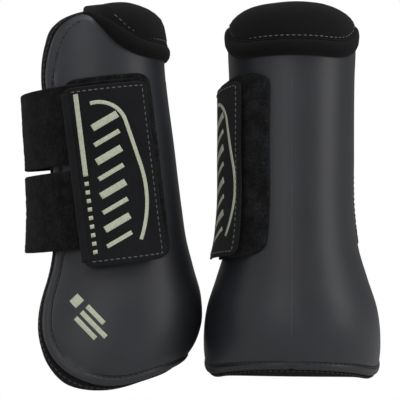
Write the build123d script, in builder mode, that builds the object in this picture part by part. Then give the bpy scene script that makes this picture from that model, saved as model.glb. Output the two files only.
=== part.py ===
from build123d import *
import os
from math import cos, radians, sin

# A pair of open-front tendon boots for a horse's forelegs. Each boot is modelled once, in its own
# boot frame: +Z runs up the leg, +X points to the rear (the tendon) and -Y is the outer side.
# All sizes are in millimetres.

# Cross-sections of the moulded shell's outer face, from below the hem to the top of the soft collar:
# height, rear reach, front reach, half width, and the inward slope of the wall in degrees.
LAST_SECTIONS = [
    (-10, 2, 92, 45, 0),
    (0, 15, 92, 53, 0),
    (10, 28, 90, 57.5, 0),
    (21, 41, 87, 60, 0),
    (35, 49.3, 84, 60.5, 0),
    (54, 52.1, 79, 58.5, 0),
    (76, 49.3, 67, 51.5, 0),
    (96, 46.8, 57.5, 45.5, 0),
    (118, 46.3, 53, 43, 0),
    (160, 46.3, 49, 42.7, 0),
    (213, 46.4, 46, 43.3, 0),
    (236, 48, 45, 44, 4),
    (246, 46.5, 43, 43.3, 22),
    (251, 42.5, 39, 39.8, 48),
    (255.5, 35.5, 31, 33, 64),
    (259, 26, 21, 23.3, 74),
    (261.5, 14, 10, 11.9, 80),
]
boot_height = 261.5  # along the leg axis, to the top; the sections' and outlines' side view follows it
boot_width = 121.0  # across the fetlock; the sections' widths follow it
leg_slot_width = 42.0  # the opening up the front, which runs on into the top
leg_lean = 7.0  # the leg axis leans this many degrees forward of upright
reach = 120.0  # longer than any section, for sketches that are cut right through
overshoot = 500.0  # taller than the boot, for the cut that goes right through it

drawn_height = LAST_SECTIONS[-1][0]
drawn_width = 2 * max(half_width for _, _, _, half_width, _ in LAST_SECTIONS)
height_ratio = boot_height / drawn_height
width_ratio = boot_width / drawn_width

# Wall build-up, outwards from the leg
shell_thickness = 2.4
liner_thickness = 5.4
collar_thickness = 6.0
layer_gap = 0.2  # glue line between two layers
seam_gap = 0.3  # butt joint between two edges
liner_margin = 5.0  # how far the liner stands out past the shell's edge
binding_thickness = 1.2
binding_setback = 0.8  # the tape stops this far short of the liner's edge
cuff_width = 8.0
cuff_thickness = 3.8
collar_front = -4.0  # where the collar begins, measured rearwards
collar_slope_start = 6.0  # its top slopes down behind this
collar_top_front = 260.3
collar_top_rear = 253.5

# Moulded groove and thread along the shell's rim
rim_width = 6.0
groove_width = 1.4
groove_depth = 0.7
thread_width = 0.8
thread_height = 0.5
thread_gap = 0.05  # between a thread and the face that it lies on
cuff_thread_rise = 2.0  # the seam above the cuff

# Hook-and-loop closure
strap_width = 51.0
strap_gap = 3.8
strap_bottom = 100.0
strap_thickness = 2.0
strap_front_stand_off = 4.5  # the straps ride this far ahead of the shell's section
closure_shift = 2.0  # the stack of layers pushes the straps this far to the outer side
loop_pad_thickness = 2.0
hook_pad_thickness = 1.8
grip_clearance = 0.5  # between the hooks and the loops
panel_thickness = 1.5
panel_hang = 13.0  # the panel reaches this far below the straps
panel_drop = 2.3  # and its top is this far below theirs
panel_bottom = strap_bottom - panel_hang
panel_top = strap_bottom + 2 * strap_width + strap_gap - panel_drop
panel_corner = 5.0
loop_pad_overhang = 4.0  # the loop pad shows behind the panel
loop_pad_rise = 6.0  # and above it
pad_corner = 8.0
pad_inset = 2.5  # hook pads stay inside the strap ends
tail_setback = 6.0  # the strap ends stop short of the panel's rear edge
panel_stitch_inset = 3.0
fold_front = -30.0  # where the straps fold as they swing open, on the inner side
fold_gap = 0.3  # half the slit at the fold
anchor_length = 14.0
anchor_stitch_inset = 2.5

# The pair stands side by side: the first boot shows its outer side, the second its rear
leg_setback = 17.5  # from the middle of the boot's stance back to the axis of the sections
first_x = -62.7
first_yaw = 4.4
second_x = 61.6
second_yaw = -94.5
pair_y = 1.5  # with the two places above, it centres the pair on the origin

# Each boot's closure is wrapped round as far as its straps are pulled: the second one's is tighter.
# The panel's front and rear edges are measured along the boot's length, from its leg axis.
FIRST_WRAP = (-22.5, 29.0)
SECOND_WRAP = (-8.0, 39.5)

strap_side_stand_off = (
    2 * layer_gap + loop_pad_thickness + grip_clearance + hook_pad_thickness - closure_shift
)


def last(grow_length, grow_width, shift):
    """The solid inside one face of the boot's wall, at an offset from the shell's outer face."""
    grow = min(grow_length, grow_width)
    with BuildPart() as body:
        for height, rear, front, half_width, slope in LAST_SECTIONS:
            rise = grow * sin(radians(slope))
            spread = cos(radians(slope))
            with BuildSketch(Plane.XY.offset(height * height_ratio + rise)):
                with Locations(((rear - front) / 2 * height_ratio, shift)):
                    Ellipse(
                        (rear + front) / 2 * height_ratio + grow_length * spread,
                        half_width * width_ratio + grow_width * spread,
                        rotation=180,
                    )
        loft()
    return body.part


def skin(offset):
    """The last grown evenly by an offset."""
    return last(offset, offset, 0)


def closure_skin(offset):
    """The face that the straps follow, grown by an offset."""
    return last(
        strap_front_stand_off + offset,
        strap_side_stand_off + offset,
        -closure_shift,
    )


# --- Outlines, seen from the outer side ------------------------------------------------------

behind = 75.0  # the outlines are closed off here, to the rear of every section
crown_level = 200.0 * height_ratio  # a level between the hem and the rear cut-out


def at(x, z):
    """A point of the drawn outline, moved with the boot's height."""
    return (x * height_ratio, z * height_ratio)


with BuildSketch(Plane.XZ) as shell_outline:
    with BuildLine():
        hem = Line(at(behind, 27), at(3, 11.4))
        lobe_bottom = TangentArc(hem @ 1, at(-21, 12.2), tangent=hem % 1)
        lobe_corner = TangentArc(lobe_bottom @ 1, at(-42.2, 23.5), tangent=lobe_bottom % 1)
        lobe_front = TangentArc(lobe_corner @ 1, at(-54.9, 54), tangent=lobe_corner % 1)
        lobe_top = TangentArc(lobe_front @ 1, at(-48.4, 78.3), tangent=lobe_front % 1)
        waist = TangentArc(lobe_top @ 1, at(-39.1, 114), tangent=lobe_top % 1)
        front_edge = PolarLine(waist @ 1, 94 * height_ratio, direction=waist % 1)
        shoulder = TangentArc(front_edge @ 1, at(-21.3, 242.1), tangent=front_edge % 1)
        crown = TangentArc(shoulder @ 1, at(-6, 251.8), tangent=shoulder % 1)
        peak = TangentArc(crown @ 1, at(1.4, 248.8), tangent=crown % 1)
        heel_cut = PolarLine(peak @ 1, 17 * height_ratio, direction=peak % 1)
        heel_curve = TangentArc(heel_cut @ 1, at(38.1, 220.9), tangent=heel_cut % 1)
        heel_edge = Line(heel_curve @ 1, at(behind, 218.5))
        Line(heel_edge @ 1, hem @ 0)
    make_face()

with BuildSketch(Plane.XZ) as shell_with_gap:
    add(shell_outline.sketch)
    offset(amount=seam_gap)

with BuildSketch(Plane.XZ) as rear_crown:
    # everything behind the front of the collar and above the shell's cut-out
    with Locations(((collar_front + reach) / 2, crown_level + reach / 2)):
        Rectangle(reach - collar_front, reach)

with BuildSketch(Plane.XZ) as liner_outline:
    add(shell_outline.sketch)
    offset(amount=liner_margin)
    add(rear_crown.sketch, mode=Mode.SUBTRACT)
    add(shell_outline.sketch)

with BuildSketch(Plane.XZ) as collar_outline:
    with BuildLine():
        Polyline(
            (collar_front + seam_gap, crown_level),
            (collar_front + seam_gap, collar_top_front * height_ratio),
            (collar_slope_start, collar_top_front * height_ratio),
            at(behind, collar_top_rear),
            (behind * height_ratio, crown_level),
            close=True,
        )
    make_face()
    add(shell_with_gap.sketch, mode=Mode.SUBTRACT)

with BuildSketch(Plane.XZ) as cuff_outline:
    add(shell_outline.sketch)
    offset(amount=cuff_width)
    add(rear_crown.sketch, mode=Mode.INTERSECT)
    add(shell_with_gap.sketch, mode=Mode.SUBTRACT)

with BuildSketch(Plane.XZ) as above_cuff:
    add(shell_outline.sketch)
    offset(amount=cuff_width + cuff_thread_rise)

with BuildSketch(Plane.XZ) as cuff_thread_line:
    add(shell_outline.sketch)
    offset(amount=cuff_width + cuff_thread_rise + thread_width)
    add(above_cuff.sketch, mode=Mode.SUBTRACT)
    add(rear_crown.sketch, mode=Mode.INTERSECT)
    add(collar_outline.sketch, mode=Mode.INTERSECT)

with BuildSketch(Plane.XZ) as binding_outline:
    add(liner_outline.sketch)
    offset(amount=-binding_setback)
    add(rear_crown.sketch, mode=Mode.SUBTRACT)
    add(shell_with_gap.sketch, mode=Mode.SUBTRACT)


def ring(outline, inset, width, clip=None):
    """A narrow line that follows an outline at a distance inside it."""
    with BuildSketch(Plane.XZ) as wide:
        add(outline)
        offset(amount=-inset)
    with BuildSketch(Plane.XZ) as narrow:
        add(outline)
        offset(amount=-inset - width)
    with BuildSketch(Plane.XZ) as line:
        add(wide.sketch)
        add(narrow.sketch, mode=Mode.SUBTRACT)
        if clip is not None:
            add(clip, mode=Mode.SUBTRACT)
    return line.sketch


# the rim's groove and thread stop before the cut-out, where the cuff covers the edge
groove_line = ring(shell_outline.sketch, rim_width, groove_width, rear_crown.sketch)
rim_thread_line = ring(
    shell_outline.sketch,
    rim_width + (groove_width - thread_width) / 2,
    thread_width,
    rear_crown.sketch,
)

# --- Faces of the wall ------------------------------------------------------------------------

shell_outer = skin(0)
shell_inner = skin(-shell_thickness)
groove_floor = skin(-groove_depth)
rim_thread_inner = skin(-groove_depth + thread_gap)
rim_thread_outer = skin(-groove_depth + thread_gap + thread_height)
liner_outer = skin(-shell_thickness - layer_gap)
liner_inner = skin(-shell_thickness - layer_gap - liner_thickness)
binding_outer = skin(-shell_thickness + binding_thickness)
binding_inner = skin(-shell_thickness)
collar_inner = skin(-collar_thickness)
cuff_inner = skin(layer_gap)
cuff_outer = skin(cuff_thickness)
seam_thread_inner = skin(thread_gap)
seam_thread_outer = skin(thread_gap + thread_height)
loop_inner = skin(layer_gap)
loop_outer = skin(layer_gap + loop_pad_thickness)

hook_inner = closure_skin(-layer_gap - hook_pad_thickness)
hook_outer = closure_skin(-layer_gap)
strap_inner = closure_skin(0)
strap_outer = closure_skin(strap_thickness)
panel_inner = closure_skin(strap_thickness + layer_gap)
panel_outer = closure_skin(strap_thickness + layer_gap + panel_thickness)
panel_thread_inner = closure_skin(strap_thickness + layer_gap + panel_thickness + thread_gap)
panel_thread_outer = closure_skin(
    strap_thickness + layer_gap + panel_thickness + thread_gap + thread_height
)
anchor_thread_inner = closure_skin(strap_thickness + thread_gap)
anchor_thread_outer = closure_skin(strap_thickness + thread_gap + thread_height)

# --- Fixed pieces of one boot ---------------------------------------------------------------

with BuildPart() as leg_slot:
    with BuildSketch(Plane.XY):
        Circle(leg_slot_width / 2)
        with Locations((-reach / 2, 0)):
            Rectangle(reach, leg_slot_width)
    extrude(amount=overshoot, both=True)

with BuildPart() as shell:
    add(shell_outer)
    add(shell_inner, mode=Mode.SUBTRACT)
    extrude(shell_outline.sketch, amount=reach, both=True, mode=Mode.INTERSECT)

with BuildPart() as rim_groove:
    add(shell_outer)
    add(groove_floor, mode=Mode.SUBTRACT)
    extrude(groove_line, amount=reach, both=True, mode=Mode.INTERSECT)

with BuildPart() as grooved_shell:
    add(shell.part)
    add(rim_groove.part, mode=Mode.SUBTRACT)

with BuildPart() as rim_stitching:
    add(rim_thread_outer)
    add(rim_thread_inner, mode=Mode.SUBTRACT)
    extrude(rim_thread_line, amount=reach, both=True, mode=Mode.INTERSECT)

with BuildPart() as liner:
    add(liner_outer)
    add(liner_inner, mode=Mode.SUBTRACT)
    extrude(liner_outline.sketch, amount=reach, both=True, mode=Mode.INTERSECT)
    add(leg_slot.part, mode=Mode.SUBTRACT)

with BuildPart() as edge_binding:
    add(binding_outer)
    add(binding_inner, mode=Mode.SUBTRACT)
    extrude(binding_outline.sketch, amount=reach, both=True, mode=Mode.INTERSECT)
    add(leg_slot.part, mode=Mode.SUBTRACT)

with BuildPart() as collar:
    add(shell_outer)
    add(collar_inner, mode=Mode.SUBTRACT)
    extrude(collar_outline.sketch, amount=reach, both=True, mode=Mode.INTERSECT)
    add(leg_slot.part, mode=Mode.SUBTRACT)

with BuildPart() as cuff:
    add(cuff_outer)
    add(cuff_inner, mode=Mode.SUBTRACT)
    extrude(cuff_outline.sketch, amount=reach, both=True, mode=Mode.INTERSECT)

with BuildPart() as cuff_stitching:
    add(seam_thread_outer)
    add(seam_thread_inner, mode=Mode.SUBTRACT)
    extrude(cuff_thread_line.sketch, amount=reach, both=True, mode=Mode.INTERSECT)

# --- Closure, made to fit how far each boot's straps are pulled --------------------------------


def loop_pad(wrap):
    """The sewn-on pad of loops, a little larger than the panel that closes over it."""
    front, rear = wrap
    rear += loop_pad_overhang
    top = panel_top + loop_pad_rise
    with BuildPart() as pad:
        add(loop_outer)
        add(loop_inner, mode=Mode.SUBTRACT)
        with BuildSketch(Plane.XZ):
            with Locations(((front + rear) / 2, (panel_bottom + top) / 2)):
                RectangleRounded(rear - front, top - panel_bottom, pad_corner)
        extrude(amount=reach, mode=Mode.INTERSECT)
    return pad.part


def strap_levels():
    """Name and lower edge of each of the two straps."""
    return (("lower", strap_bottom), ("upper", strap_bottom + strap_width + strap_gap))


def strap(level, wrap):
    """An elastic band from the fold on the inner side, round the front, to under the panel."""
    tail = wrap[1] - tail_setback
    with BuildPart() as band:
        add(strap_outer)
        add(strap_inner, mode=Mode.SUBTRACT)
        with BuildSketch(Plane.XY.offset(level)):
            with Locations(((fold_front - fold_gap - reach) / 2, 0)):
                Rectangle(reach + fold_front - fold_gap, 2 * reach)
            with Locations(((tail - reach) / 2, -reach / 2)):
                Rectangle(reach + tail, reach)
        extrude(amount=strap_width, mode=Mode.INTERSECT)
    return band.part


def strap_anchor(level):
    """The sewn-down end of a strap, behind the fold."""
    with BuildPart() as end:
        add(strap_outer)
        add(strap_inner, mode=Mode.SUBTRACT)
        with BuildSketch(Plane.XZ):
            with Locations((fold_front + fold_gap + anchor_length / 2, level + strap_width / 2)):
                Rectangle(anchor_length, strap_width)
        extrude(amount=-reach, mode=Mode.INTERSECT)
    return end.part


def anchor_thread(level):
    """A box of stitches on a strap's sewn-down end."""
    with BuildPart() as box_stitch:
        add(anchor_thread_outer)
        add(anchor_thread_inner, mode=Mode.SUBTRACT)
        with BuildSketch(Plane.XZ):
            with Locations((fold_front + fold_gap + anchor_length / 2, level + strap_width / 2)):
                Rectangle(
                    anchor_length - 2 * anchor_stitch_inset,
                    strap_width - 2 * anchor_stitch_inset,
                )
                Rectangle(
                    anchor_length - 2 * anchor_stitch_inset - 2 * thread_width,
                    strap_width - 2 * anchor_stitch_inset - 2 * thread_width,
                    mode=Mode.SUBTRACT,
                )
        extrude(amount=-reach, mode=Mode.INTERSECT)
    return box_stitch.part


def hook_pad(level, wrap):
    """The hooks on the back of a strap's end, which grip the loop pad."""
    front = wrap[0] + pad_inset
    rear = wrap[1] - tail_setback - pad_inset
    with BuildPart() as pad:
        add(hook_outer)
        add(hook_inner, mode=Mode.SUBTRACT)
        with BuildSketch(Plane.XZ):
            with Locations(((front + rear) / 2, level + strap_width / 2)):
                Rectangle(rear - front, strap_width - 2 * pad_inset)
        extrude(amount=reach, mode=Mode.INTERSECT)
    return pad.part


def panel_outline(wrap):
    """The panel's rectangle with rounded corners."""
    front, rear = wrap
    with BuildSketch(Plane.XZ) as outline:
        with Locations(((front + rear) / 2, (panel_bottom + panel_top) / 2)):
            RectangleRounded(rear - front, panel_top - panel_bottom, panel_corner)
    return outline.sketch


def closure_panel(wrap):
    """The stiff woven panel that holds both strap ends and is gripped to open the boot."""
    with BuildPart() as panel:
        add(panel_outer)
        add(panel_inner, mode=Mode.SUBTRACT)
        extrude(panel_outline(wrap), amount=reach, mode=Mode.INTERSECT)
    return panel.part


def panel_stitching(wrap):
    """The thread round the panel's border."""
    with BuildPart() as thread:
        add(panel_thread_outer)
        add(panel_thread_inner, mode=Mode.SUBTRACT)
        extrude(
            ring(panel_outline(wrap), panel_stitch_inset, thread_width),
            amount=reach,
            mode=Mode.INTERSECT,
        )
    return thread.part


# --- All the pieces of one boot -----------------------------------------------------------------


def boot_pieces(wrap):
    """Name and solid of each piece, in the boot's own frame."""
    pieces = {
        "shell": grooved_shell.part,
        "rim_stitching": rim_stitching.part,
        "liner": liner.part,
        "edge_binding": edge_binding.part,
        "collar": collar.part,
        "cuff": cuff.part,
        "cuff_stitching": cuff_stitching.part,
        "loop_pad": loop_pad(wrap),
        "closure_panel": closure_panel(wrap),
        "panel_stitching": panel_stitching(wrap),
    }
    for name, level in strap_levels():
        pieces[f"{name}_strap"] = strap(level, wrap)
        pieces[f"{name}_strap_anchor"] = strap_anchor(level)
        pieces[f"{name}_anchor_stitching"] = anchor_thread(level)
        pieces[f"{name}_hook_pad"] = hook_pad(level, wrap)
    return pieces


# --- The pair, side by side --------------------------------------------------------------------


def boot_plane(centre_x, yaw, height):
    """The plane of one boot: turned about the vertical, and leaning towards its own front."""
    turn = radians(yaw)
    lean = radians(leg_lean)
    return Plane(
        origin=(centre_x, pair_y, height),
        x_dir=(cos(lean) * cos(turn), cos(lean) * sin(turn), sin(lean)),
        z_dir=(-sin(lean) * cos(turn), -sin(lean) * sin(turn), cos(lean)),
    )


def place(piece, plane, label):
    """A copy of a boot's piece, moved from the boot's own frame to its place in the pair."""
    with BuildPart(plane) as placed:
        with Locations((leg_setback, 0, 0)):
            add(piece)
    placed.part.label = label
    return placed.part


leaning_outline = liner_outline.sketch.moved(
    boot_plane(0, 0, 0).location * Location((leg_setback, 0, 0))
)
lowest = leaning_outline.bounding_box().min.Z

os.makedirs("parts", exist_ok=True)
for boot, centre_x, yaw, wrap in (
    ("boot_a", first_x, first_yaw, FIRST_WRAP),
    ("boot_b", second_x, second_yaw, SECOND_WRAP),
):
    for name, piece in boot_pieces(wrap).items():
        placed_piece = place(piece, boot_plane(centre_x, yaw, -lowest), f"{boot}_{name}")
        export_step(placed_piece, f"parts/{boot}_{name}.step")
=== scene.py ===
import math
import bpy
import bmesh
import numpy as np
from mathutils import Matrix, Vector
from mathutils.kdtree import KDTree


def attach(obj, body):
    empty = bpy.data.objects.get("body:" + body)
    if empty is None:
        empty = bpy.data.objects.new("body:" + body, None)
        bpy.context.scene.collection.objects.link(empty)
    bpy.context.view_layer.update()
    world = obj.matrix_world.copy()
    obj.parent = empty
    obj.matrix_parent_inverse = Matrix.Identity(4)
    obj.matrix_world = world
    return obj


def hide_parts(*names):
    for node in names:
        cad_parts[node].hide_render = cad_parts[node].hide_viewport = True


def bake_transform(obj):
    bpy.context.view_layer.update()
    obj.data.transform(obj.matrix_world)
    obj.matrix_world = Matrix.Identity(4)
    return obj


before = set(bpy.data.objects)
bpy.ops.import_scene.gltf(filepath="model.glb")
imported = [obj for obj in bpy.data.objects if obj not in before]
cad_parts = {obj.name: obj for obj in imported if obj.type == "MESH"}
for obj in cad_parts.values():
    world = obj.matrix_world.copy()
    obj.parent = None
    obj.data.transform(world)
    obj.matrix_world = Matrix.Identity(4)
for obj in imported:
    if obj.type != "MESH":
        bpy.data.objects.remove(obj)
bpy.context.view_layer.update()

# ---------------------------------------------------------------------------------------------
# Moulded shells. Each is one piece of injection-moulded polyurethane, satin and slightly pebbled,
# with a raised bead round its rim and a sewing groove inside the bead.

MM = 0.001
BOOTS = ("boot_a", "boot_b")
STANCE = {"boot_a": (-62.7, 4.4), "boot_b": (61.6, -94.5)}  # place along X in mm, turn in degrees
STANCE_Y = 1.5
LEG_LEAN = 7.0  # degrees that the leg axis leans forward
LEG_SETBACK = 17.5  # from the middle of the stance back to the leg axis, in mm
STANCE_LEVEL = -6.07  # the leg axis starts this far below the lowest hem, in mm

# Outer face of the shell and collar, in mm: height, rear reach, front reach, half width.
SECTIONS = np.array([
    (-10, 2, 92, 45),
    (0, 15, 92, 53),
    (10, 28, 90, 57.5),
    (21, 41, 87, 60),
    (35, 49.3, 84, 60.5),
    (54, 52.1, 79, 58.5),
    (76, 49.3, 67, 51.5),
    (96, 46.8, 57.5, 45.5),
    (118, 46.3, 53, 43),
    (160, 46.3, 49, 42.7),
    (213, 46.4, 46, 43.3),
    (236, 48, 45, 44),
    (246, 46.5, 43, 43.3),
    (251, 42.5, 39, 39.8),
    (255.5, 35.5, 31, 33),
    (259, 26, 21, 23.3),
    (261.5, 14, 10, 11.9),
    (262.3, 3, 2, 2.5),
])


def smooth_stations(table, count):
    """Sections between the given ones, on a smooth curve along the wall from hem to crown."""
    reach = table[:, 1:].mean(axis=1)
    along = np.concatenate(([0], np.cumsum(np.hypot(np.diff(table[:, 0]), np.diff(reach)))))
    slopes = np.gradient(table, along, axis=0)
    rise = np.linspace(0, along[-1], count)
    k = np.clip(np.searchsorted(along, rise, side="right") - 1, 0, len(along) - 2)
    span = (along[k + 1] - along[k])[:, None]
    f = ((rise - along[k])[:, None]) / span
    blend = (
        table[k] * (1 + 2 * f) * (1 - f) ** 2
        + slopes[k] * span * f * (1 - f) ** 2
        + table[k + 1] * f**2 * (3 - 2 * f)
        + slopes[k + 1] * span * f**2 * (f - 1)
    )
    return rise, blend


RISE, STATIONS = smooth_stations(SECTIONS, 1400)
STATION_SLOPES = np.gradient(STATIONS, RISE, axis=0)
WALL = (0.0, 0.0, 0.0)  # how a face departs from the sections: ahead, to each side, shift of centre


def on_form(turn, rise, height, wear=WALL):
    """Points in a boot's frame, in mm: turn is 0 at the rear and negative on the outer side."""
    z, rear, front, half = (np.interp(rise, RISE, STATIONS[:, i]) for i in range(4))
    dz, drear, dfront, dhalf = (np.interp(rise, RISE, STATION_SLOPES[:, i]) for i in range(4))
    ahead, aside, shift = wear
    length = (rear + front) / 2 + ahead
    width = half + aside
    cos, sin = np.cos(turn), np.sin(turn)
    point = np.stack(((rear - front) / 2 + length * cos, width * sin + shift, z), axis=-1)
    around = np.stack((-length * sin, width * cos, 0 * z), axis=-1)
    upward = np.stack(((drear - dfront) / 2 + (drear + dfront) / 2 * cos, dhalf * sin, dz), axis=-1)
    normal = np.cross(around, upward)
    normal /= np.linalg.norm(normal, axis=-1, keepdims=True)
    return point + normal * np.asarray(height)[..., None], normal, around, upward


def from_side(x, z, side, wear=WALL):
    """Turn and rise of points given in side view, on the outer (-1) or inner (1) side."""
    rise = np.interp(z, STATIONS[:, 0], RISE)
    rear, front = (np.interp(rise, RISE, STATIONS[:, i]) for i in (1, 2))
    cos = (x - (rear - front) / 2) / ((rear + front) / 2 + wear[0])
    return np.stack((side * np.arccos(np.clip(cos, -1, 1)), rise), axis=-1)


def tangent_path(start, heading, steps, spacing=0.5):
    """Points along a line that goes on smoothly: arcs to given points, and straights by length."""
    points = [np.array(start, float)]
    heading = np.array(heading, float) / np.linalg.norm(heading)
    for step in steps:
        here = points[-1]
        if len(step) == 1:
            count = max(2, int(step[0] / spacing))
            points += [here + heading * step[0] * (i + 1) / count for i in range(count)]
            continue
        chord = np.array(step, float) - here
        side = np.array((-heading[1], heading[0]))
        bend = 2 * chord @ side / (chord @ chord)  # curvature of the tangent arc
        angle = 2 * math.atan2(chord @ side, chord @ heading)
        length = abs(angle / bend)
        count = max(2, int(length / spacing))
        for i in range(count):
            a = angle * (i + 1) / count
            points.append(here + (heading * math.sin(a) + side * (1 - math.cos(a))) / bend)
        heading = heading * math.cos(angle) + side * math.sin(angle)
    return np.array(points)


def smooth_step(value):
    value = np.clip(value, 0, 1)
    return value * value * (3 - 2 * value)


# Side view of the shell's edge: in from behind the heel, round the lobe and up the open front, over
# the crown and down the cut at the back.
EDGE = tangent_path(
    (75, 27), (-72, -15.6),
    [
        (73.67,), (-21, 12.2), (-42.2, 23.5), (-54.9, 54), (-48.4, 78.3), (-39.1, 114), (94,),
        (-21.3, 242.1), (-6, 251.8), (1.4, 248.8), (17,), (38.1, 220.9),
    ],
)
HEEL_DROP = 3.9  # the trimmed hem hangs this much lower at the rear
CROWN_LEAN = 2.3  # and the upper front edge springs this far forward
on_hem = (EDGE[:, 0] > -12) & (EDGE[:, 1] < 30)
EDGE[:, 1] -= np.where(on_hem, HEEL_DROP * smooth_step((EDGE[:, 0] + 12) / 62), 0)
springing = smooth_step((EDGE[:, 1] - 185) / 30) * (1 - smooth_step((EDGE[:, 1] - 240) / 13))
EDGE[:, 0] -= np.where(EDGE[:, 0] < 0, CROWN_LEAN * springing, 0)
LOBE_LEVEL = 23.5  # the hem turns into the front edge here, ahead of the leg axis
CROWN_LEVEL = 237.0  # and the front edge turns into the crown here
lobe_turn = int(np.argmax((EDGE[:, 1] > LOBE_LEVEL) & (EDGE[:, 0] < 0)))
crown_turn = int(np.argmax(EDGE[:, 1] > CROWN_LEVEL))
HEM = EDGE[: lobe_turn + 1]
FRONT = EDGE[lobe_turn : crown_turn + 1]
CROWN = np.concatenate((EDGE[crown_turn:], np.linspace((38.6, 220.87), (75, 218.5), 60)))


def half_path(path, side, wear=WALL):
    """A side-view path on the form, cut off where it meets the rear line, at turn 0."""
    on = from_side(path[:, 0], path[:, 1], side, wear)
    cross = np.nonzero(np.abs(on[:, 0]) > 1e-6)[0]
    return on[cross]


def mirror(path):
    return path * (-1, 1)


def both_sides(half):
    """A path that ends at the rear line, joined to its mirror image."""
    rear = np.array([[0.0, half[-1, 1]]])
    return np.concatenate((half, rear, mirror(half)[::-1]))


def resample(path, stops):
    """Points of a turn-and-rise path at given shares of its length on the form."""
    points = on_form(path[:, 0], path[:, 1], 0)[0]
    along = np.concatenate(([0], np.cumsum(np.linalg.norm(np.diff(points, axis=0), axis=1))))
    return np.stack([np.interp(stops * along[-1], along, path[:, i]) for i in (0, 1)], axis=-1)


def path_length(path):
    return np.linalg.norm(np.diff(on_form(path[:, 0], path[:, 1], 0)[0], axis=0), axis=1).sum()


def stops(length, edge, fine, coarse):
    """Shares of a length, close together within `edge` mm of both ends."""
    near = np.arange(0, edge, fine)
    middle = np.linspace(edge, length - edge, max(3, int((length - 2 * edge) / coarse)))
    return np.concatenate((near, middle, (length - near)[::-1])) / length


def coons(bottom, top, left, right, across, along):
    """A grid of turn-and-rise pairs between four edges; rows run from bottom to top."""
    s = across[None, :, None]
    r = along[:, None, None]
    ruled = (1 - r) * bottom[None] + r * top[None] + (1 - s) * left[:, None] + s * right[:, None]
    corners = (
        (1 - s) * (1 - r) * bottom[0]
        + s * (1 - r) * bottom[-1]
        + (1 - s) * r * top[0]
        + s * r * top[-1]
    )
    return ruled - corners


def edge_distance(grid_points, edge_points):
    """Distance in mm from each grid point to the nearest point of the edge."""
    tree = KDTree(len(edge_points))
    for i, point in enumerate(edge_points):
        tree.insert(point, i)
    tree.balance()
    flat = grid_points.reshape(-1, 3)
    return np.array([tree.find(p)[2] for p in flat]).reshape(grid_points.shape[:2])


def rounded(distance, radius):
    """Height of a rounded edge: 0 at the edge, `radius` from `radius` inwards."""
    inside = np.clip(radius - distance, 0, radius)
    return np.sqrt(np.maximum(radius**2 - inside**2, 0))


def bump(distance, centre, half_width):
    """A smooth hump of height 1 about a distance from the edge."""
    u = np.clip(np.abs(distance - centre) / half_width, 0, 1)
    return (1 + np.cos(math.pi * u)) / 2


def two_faced(outer, inner):
    """Vertices and faces of a closed sheet from an outer and an inner grid with the same edge."""
    rows, columns = outer.shape[:2]
    index = np.arange(rows * columns).reshape(rows, columns)
    back = index + index.size
    back[0], back[-1] = index[0], index[-1]
    back[:, 0], back[:, -1] = index[:, 0], index[:, -1]
    vertices = np.concatenate((outer.reshape(-1, 3), inner.reshape(-1, 3)))
    faces = []
    for grid, flip in ((index, 1), (back, -1)):
        quads = np.stack((grid[:-1, :-1], grid[:-1, 1:], grid[1:, 1:], grid[1:, :-1]), axis=-1)
        faces.append(quads.reshape(-1, 4)[:, ::flip])
    return vertices, np.concatenate(faces)


GIRTH_PER_TURN = 46.0  # mm of girth to a radian, for the weave


def sheet_on_form(edges, counts, outer_height, inner_height, wear=WALL):
    """A closed sheet between four edges on the form. The heights of its two faces are functions of
    the distance from the edge and of the place on the form."""
    bottom, top, left, right = edges
    across, along = counts
    bottom, top = resample(bottom, across), resample(top, across)
    left, right = resample(left, along), resample(right, along)
    grid = coons(bottom, top, left, right, across, along)
    flat = on_form(grid[..., 0], grid[..., 1], 0 * grid[..., 0], wear)[0]
    loop = np.concatenate([resample(edge, np.linspace(0, 1, 900)) for edge in edges])
    loop = on_form(loop[:, 0], loop[:, 1], 0 * loop[:, 0], wear)[0]
    distance = edge_distance(flat, loop)
    distance[0], distance[-1], distance[:, 0], distance[:, -1] = 0, 0, 0, 0
    sides = [
        on_form(grid[..., 0], grid[..., 1], height(distance, flat), wear)[0]
        for height in (outer_height, inner_height)
    ]
    weave = grid.reshape(-1, 2) * (GIRTH_PER_TURN, 1)
    return *two_faced(*sides), np.concatenate((weave, weave))


def to_world(boot, points):
    """Points in a boot's frame, in mm, to the row's frame in metres."""
    place, turn = STANCE[boot]
    lean, turn = math.radians(LEG_LEAN), math.radians(turn)
    x, y, z = (points[..., i] for i in range(3))
    x = x + LEG_SETBACK
    ahead = x * math.cos(lean) - z * math.sin(lean)
    up = x * math.sin(lean) + z * math.cos(lean)
    return MM * np.stack(
        (
            place + ahead * math.cos(turn) - y * math.sin(turn),
            STANCE_Y + ahead * math.sin(turn) + y * math.cos(turn),
            STANCE_LEVEL + up,
        ),
        axis=-1,
    )


def make_piece(name, boot, vertices, faces, weave, *materials):
    """An object of a boot from vertices in the boot's frame, smooth, with its normals outwards.
    `weave` gives each vertex its place in mm along and across the cloth."""
    mesh = bpy.data.meshes.new(name)
    mesh.from_pydata(to_world(boot, vertices).tolist(), [], [list(map(int, f)) for f in faces])
    layer = mesh.uv_layers.new(name="weave")
    corners = np.empty(len(mesh.loops), dtype=int)
    mesh.loops.foreach_get("vertex_index", corners)
    layer.data.foreach_set("uv", (MM * np.asarray(weave)[corners]).ravel())
    for material in materials:
        mesh.materials.append(material)
    cleaned = bmesh.new()
    cleaned.from_mesh(mesh)
    bmesh.ops.remove_doubles(cleaned, verts=cleaned.verts, dist=1e-7)
    bmesh.ops.recalc_face_normals(cleaned, faces=cleaned.faces)
    for face in cleaned.faces:
        face.smooth = True
    cleaned.to_mesh(mesh)
    cleaned.free()
    piece = bpy.data.objects.new(name, mesh)
    bpy.context.scene.collection.objects.link(piece)
    return piece


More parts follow.
